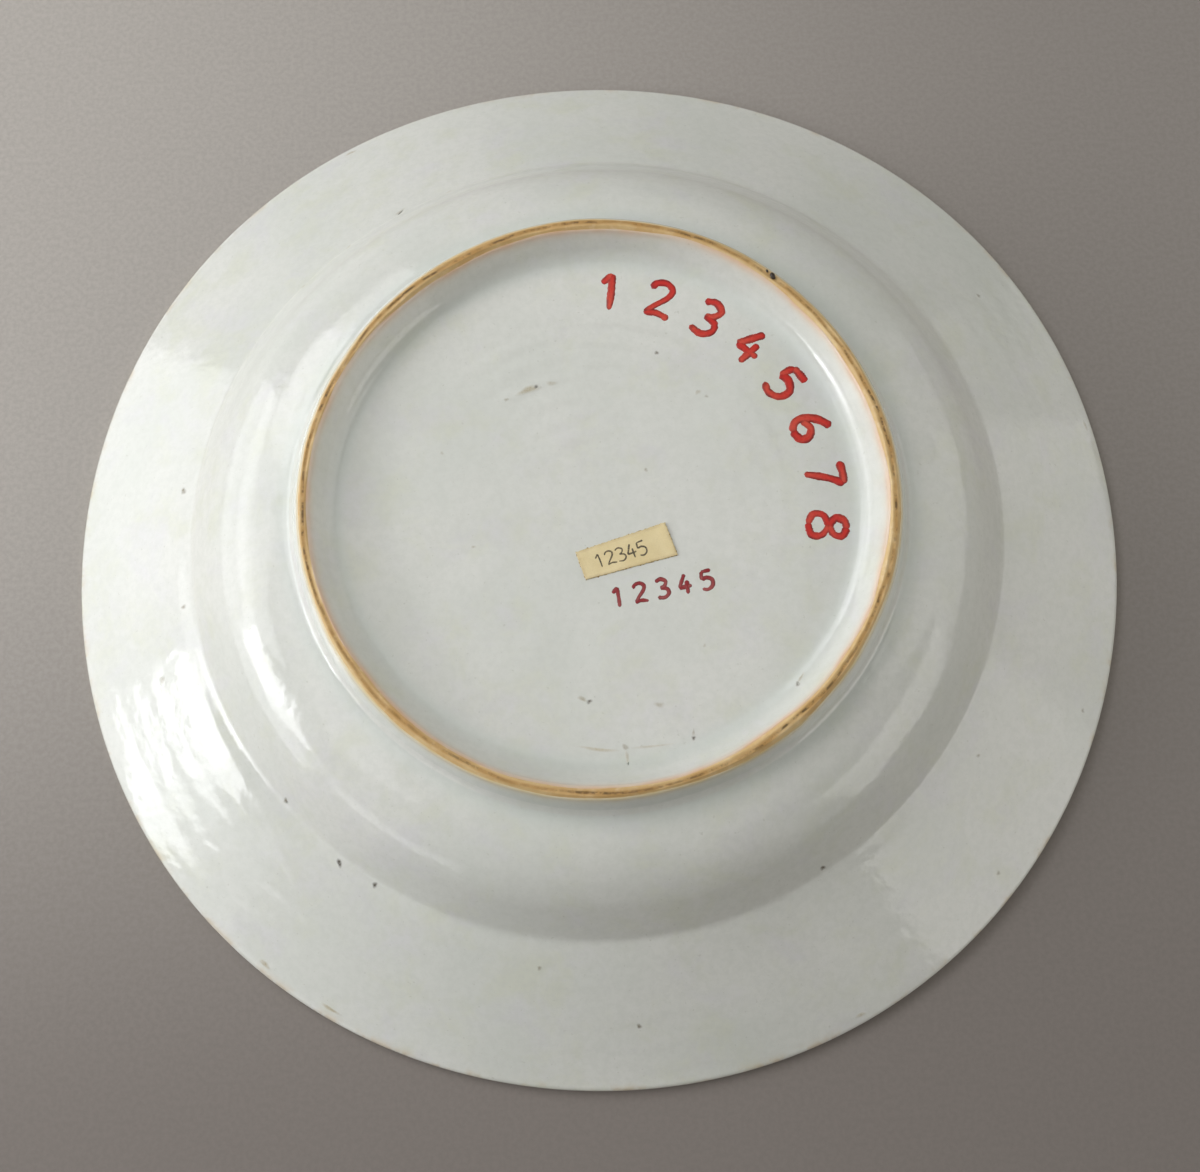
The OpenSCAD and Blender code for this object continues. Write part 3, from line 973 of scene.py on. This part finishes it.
# Marks on the recess floor: x, y, length, width, direction, darkness and strength.
STAINS = [
    (-13.0, 25.0, 5.2, 1.5, 12, 0.25, 0.7), (-11.5, 25.5, 1.3, 0.9, 20, 0.95, 0.9),
    (-8.3, 26.2, 2.4, 1.0, 10, 0.3, 0.4), (-17.6, 23.0, 1.0, 0.8, 0, 0.5, 0.5),
    (13.6, 32.0, 1.1, 0.9, 100, 0.85, 0.75), (21.6, 23.0, 1.4, 1.0, 60, 0.4, 0.5),
    (23.3, 22.0, 0.8, 0.7, 0, 0.6, 0.5), (10.2, 6.6, 0.9, 0.8, 0, 0.6, 0.6),
    (-4.3, -39.6, 2.6, 0.8, 155, 0.45, 0.6), (-3.0, -40.2, 1.2, 1.0, 0, 0.95, 0.9),
    (10.6, -41.4, 2.0, 1.3, 0, 0.4, 0.45), (16.9, -48.1, 1.1, 0.9, 0, 0.95, 0.85),
    (16.9, -47.1, 1.8, 0.6, 90, 0.5, 0.45), (3.6, -49.3, 1.8, 0.9, 135, 0.6, 0.65),
    (3.9, -51.2, 2.8, 0.7, 90, 0.35, 0.45), (-1.6, -49.6, 8.5, 0.7, 173, 0.15, 0.55),
    (8.6, -49.4, 7.5, 0.6, 2, 0.2, 0.35), (37.6, -38.4, 1.2, 0.9, 60, 0.95, 0.85),
    (38.3, -37.2, 2.2, 0.6, 60, 0.45, 0.5), (-25.0, -8.0, 0.9, 0.7, 0, 0.4, 0.4),
    (20.0, -30.0, 0.8, 0.7, 0, 0.4, 0.4), (-31.0, 12.0, 0.8, 0.7, 0, 0.4, 0.35),
]


def lens_marks():
    """Each mark is a thin lens on the glaze, strongest in its middle and gone at its edge."""
    marks = list(SPECKS)
    for x, y, *rest in STAINS:
        marks.append((math.hypot(x, y), math.degrees(math.atan2(y, x)), *rest))
    points, faces, core, shade = [], [], [], []
    circles, spokes = 6, 24
    reach = 0.62  # a lens's half size over its listed size: more than half, since its edge is faint
    for n, (r, angle, length, width, direction, dark, strength) in enumerate(marks):
        rng = np.random.default_rng(SEED + 100 + n)
        a = np.linspace(0, 2 * np.pi, spokes, endpoint=False)
        ragged = 1 + 0.18 * np.sin(2 * a + rng.uniform(0, 6))
        ragged = ragged + 0.12 * np.sin(3 * a + rng.uniform(0, 6))
        start = len(core)
        for i in range(circles + 1):
            share = i / circles
            local = np.zeros((1, 2))
            if i > 0:
                local = np.stack([np.cos(a) * length * reach, np.sin(a) * width * reach], 1)
                local = local * (share * ragged)[:, None]
            local = turned(local, direction - angle)
            lift = 0.022 * (1 - share ** 2) + 0.004 if i < circles else -0.03
            around = math.radians(angle) + local[:, 1] / r
            points.append(surface(top_arc(r + local[:, 0]), around, lift))
            core += [float(strength * rise(1 - share, 0.05, 0.85))] * len(local)
            shade += [dark] * len(local)
        for k in range(spokes):
            then = (k + 1) % spokes
            faces.append((start, start + 1 + k, start + 1 + then))
            for i in range(circles - 1):
                inner = start + 1 + i * spokes
                outer = inner + spokes
                faces.append((inner + k, outer + k, outer + then, inner + then))
        edge = start + 1 + (circles - 1) * spokes
        faces.append(tuple(edge + k for k in range(spokes))[::-1])
    make_piece("iron_specks", np.concatenate(points), faces, "glaze", SPECK,
               core=core, shade=shade)


def grit(radius, angle, size, seed):
    """A lump of kiln grit stuck to the crest of the foot ring."""
    rng = np.random.default_rng(SEED + seed)
    up, around = 9, 16
    centre = surface(top_arc(radius), math.radians(angle), 0.1)
    polar = np.linspace(0, np.pi, up)[:, None]
    turn = np.linspace(0, 2 * np.pi, around, endpoint=False)[None, :]
    bumps = 1 + 0.25 * np.sin(2 * turn + rng.uniform(0, 6)) * np.sin(polar) ** 2
    bumps = bumps + 0.15 * np.sin(3 * turn + 4 * polar) * np.sin(polar)
    ball = np.stack([np.sin(polar) * np.cos(turn) * size[0], np.sin(polar) * np.sin(turn) * size[1],
                     np.cos(polar) * np.ones_like(turn) * size[2]], -1) * bumps[..., None]
    ball[..., :2] = turned(ball[..., :2], angle + 90)
    points, faces, _ = lathe(ball + centre, False)
    return points, faces


# Radius, angle, half sizes and seed of each lump.
LUMPS_OF_GRIT = [(58.7, 50.1, (0.75, 0.5, 0.32), 51), (58.9, 51.6, (0.3, 0.25, 0.2), 52)]


def all_grit():
    points, faces = [], []
    for lump in LUMPS_OF_GRIT:
        start = sum(len(other) for other in points)
        lump_points, lump_faces = grit(*lump)
        points.append(lump_points)
        faces += [tuple(i + start for i in face) for face in lump_faces]
    make_piece("kiln_grit", np.concatenate(points), faces, "clay", GRIT)


lens_marks()
all_grit()


# ---- floor, lights, camera

def floor():
    """A wide plain floor with painted light and shade: its colour is palest behind the plate on the
    left and painted darker towards the front and the right, standing in for the light falling off
    across it.
    It is open under the plate and clear from below, so that a view from below shows the plate's
    front."""
    m = Nodes("floor_paper")
    grain = m.noise(1.1, 3, 0.6)
    parts = m.tree.nodes.new("ShaderNodeSeparateXYZ")
    m.tree.links.new(m.place, parts.inputs[0])
    # Painted light and shade: the colour is lighter at the back and left, darker towards the front
    # and right.
    left = m.ramp(parts.outputs["X"], -0.14, 0.14, 1.0, 0.38)
    painted_light = m.times(m.ramp(parts.outputs["Y"], -0.13, 0.03), left)
    colour = m.mix(painted_light, srgb(129, 121, 115), srgb(179, 173, 166))
    colour = m.mix(m.times(m.ramp(grain, 0.3, 0.7), 0.16), colour, srgb(112, 108, 102))
    m.set(Base_Color=colour, Roughness=m.ramp(grain, 0.3, 0.7, 0.7, 0.85),
          Normal=m.bump(grain, 0.3, 0.08))
    geometry = m.tree.nodes.new("ShaderNodeNewGeometry")
    clear = m.tree.nodes.new("ShaderNodeBsdfTransparent")
    either = m.tree.nodes.new("ShaderNodeMixShader")
    output = m.tree.nodes["Material Output"]
    m.tree.links.new(geometry.outputs["Backfacing"], either.inputs[0])
    m.tree.links.new(m.shader.outputs[0], either.inputs[1])
    m.tree.links.new(clear.outputs[0], either.inputs[2])
    m.tree.links.new(either.outputs[0], output.inputs["Surface"])
    columns = 96
    around = np.linspace(0, 2 * np.pi, columns, endpoint=False)
    radii = [114.0, 140.0, 200.0, 400.0, 1200.0, 6000.0]
    points = [(r * math.cos(a), r * math.sin(a), 0) for r in radii for a in around]
    faces = []
    for inner in range(0, (len(radii) - 1) * columns, columns):
        outer = inner + columns
        for k in range(columns):
            then = (k + 1) % columns
            faces.append((inner + k, outer + k, outer + then, inner + then))
    mesh = bpy.data.meshes.new("floor")
    mesh.from_pydata((np.array(points) * MM).tolist(), [], faces)
    mesh.materials.append(m.material)
    plane = place("floor", mesh)


WATTS = 10  # per square metre of a light of strength 1
DAYLIGHT = (0.97, 0.98, 1.0)
WARM = (1.0, 0.985, 0.945)
PALE = (1.0, 0.995, 0.985)
WALL_AWAY = 3.0


def soft_light(name, azimuths, elevations, strength, distance=1.0, colour=DAYLIGHT, roll=0):
    """A flat light facing the plate, between two azimuths and two elevations in degrees. Azimuth 0
    is +Y and 90 is +X. Distance is in metres, and roll turns it about the line to the plate."""
    azimuth = math.radians(sum(azimuths) / 2)
    elevation = math.radians(sum(elevations) / 2)
    wide = math.radians(azimuths[1] - azimuths[0])
    high = math.radians(elevations[1] - elevations[0])
    towards = Vector((math.sin(azimuth) * math.cos(elevation),
                      math.cos(azimuth) * math.cos(elevation), math.sin(elevation)))
    light = bpy.data.lights.new(name, "AREA")
    light.shape = "RECTANGLE"
    light.size = 2 * distance * math.tan(wide / 2) * math.cos(elevation)
    light.size_y = 2 * distance * math.tan(high / 2)
    light.energy = WATTS * strength * light.size * light.size_y
    light.color = colour
    lamp = place(name, light)
    lamp.location = towards * distance
    lamp.rotation_mode = "QUATERNION"
    facing = towards.to_track_quat("Z", "Y")
    lamp.rotation_quaternion = facing @ Quaternion((0, 0, 1), math.radians(roll))


def overhead_light(name, height, radius, strength, x=0, y=0):
    """A round level light above the plate, or below it and facing up if height is negative. Its
    sizes are metres."""
    light = bpy.data.lights.new(name, "AREA")
    light.shape = "DISK"
    light.size = 2 * radius
    light.energy = WATTS * strength * math.pi * radius ** 2
    light.color = PALE
    lamp = place(name, light)
    lamp.location = (x, y, height)
    lamp.rotation_euler = (0 if height > 0 else math.pi, 0, 0)


def lights():
    """A window on the left, brightest at its near end, pale walls round it and on the right, a dim
    ceiling, and a light from below for views of the plate's front."""
    soft_light("window_end", (-106, -90.5), (15, 33), 2.5)
    soft_light("window_slant", (-113, -101), (16, 28), 1.7, roll=45)
    soft_light("window_end_low", (-118, -90.5), (3, 15), 0.70)
    soft_light("window_return", (-124, -107), (15, 24), 0.30)
    soft_light("window_strip", (-150, -124), (13, 19), 0.50)
    soft_light("window_low", (-90.5, -51), (3, 22), 0.66)
    soft_light("window_high", (-90.5, -51), (22, 33), 1.30)
    soft_light("wall_over_window", (-95, -38), (33, 48), 0.82)
    soft_light("wall_back_left", (-58, -22), (36, 58), 0.62)
    soft_light("ceiling_left", (-125, -38), (48, 66), 0.34)
    soft_light("wall_back_right", (46, 62), (5, 32), 0.14, WALL_AWAY, WARM)
    soft_light("wall_right", (62, 97), (5, 32), 0.36, WALL_AWAY, WARM)
    soft_light("wall_back_right_high", (46, 62), (32, 60), 0.16, WALL_AWAY, WARM)
    soft_light("wall_right_high", (62, 97), (32, 60), 0.36, WALL_AWAY, WARM)
    soft_light("wall_front_right", (97, 133), (5, 32), 0.57, WALL_AWAY, WARM)
    soft_light("wall_front", (133, 147), (5, 32), 0.14, WALL_AWAY, WARM)
    overhead_light("ceiling", 3.0, 1.46, 0.238, -0.7, 0.7)
    overhead_light("front_fill", -1.5, 1.0, 0.5)
    world = bpy.data.worlds.new("studio")
    world.use_nodes = True
    sky = world.node_tree.nodes["Background"]
    sky.inputs["Color"].default_value = (0.048, 0.047, 0.045, 1)
    bpy.context.scene.world = world


def camera():
    """As fitted to the photo: looking steeply down, and turned a little about its own axis."""
    tilt = -2.32
    data = bpy.data.cameras.new("camera")
    data.lens = 45
    data.sensor_width = 36
    data.clip_start = 0.01
    cam = place("camera", data)
    spot = Vector((0, -90.34, 322.64)) * MM
    aim = Vector((0, -8.4, 0)) * MM
    cam.location = spot
    cam.rotation_mode = "QUATERNION"
    level = (aim - spot).to_track_quat("-Z", "Y")
    cam.rotation_quaternion = level @ Quaternion((0, 0, 1), math.radians(tilt))
    bpy.context.scene.camera = cam


floor()
lights()
camera()
bpy.context.scene.view_settings.view_transform = "Standard"
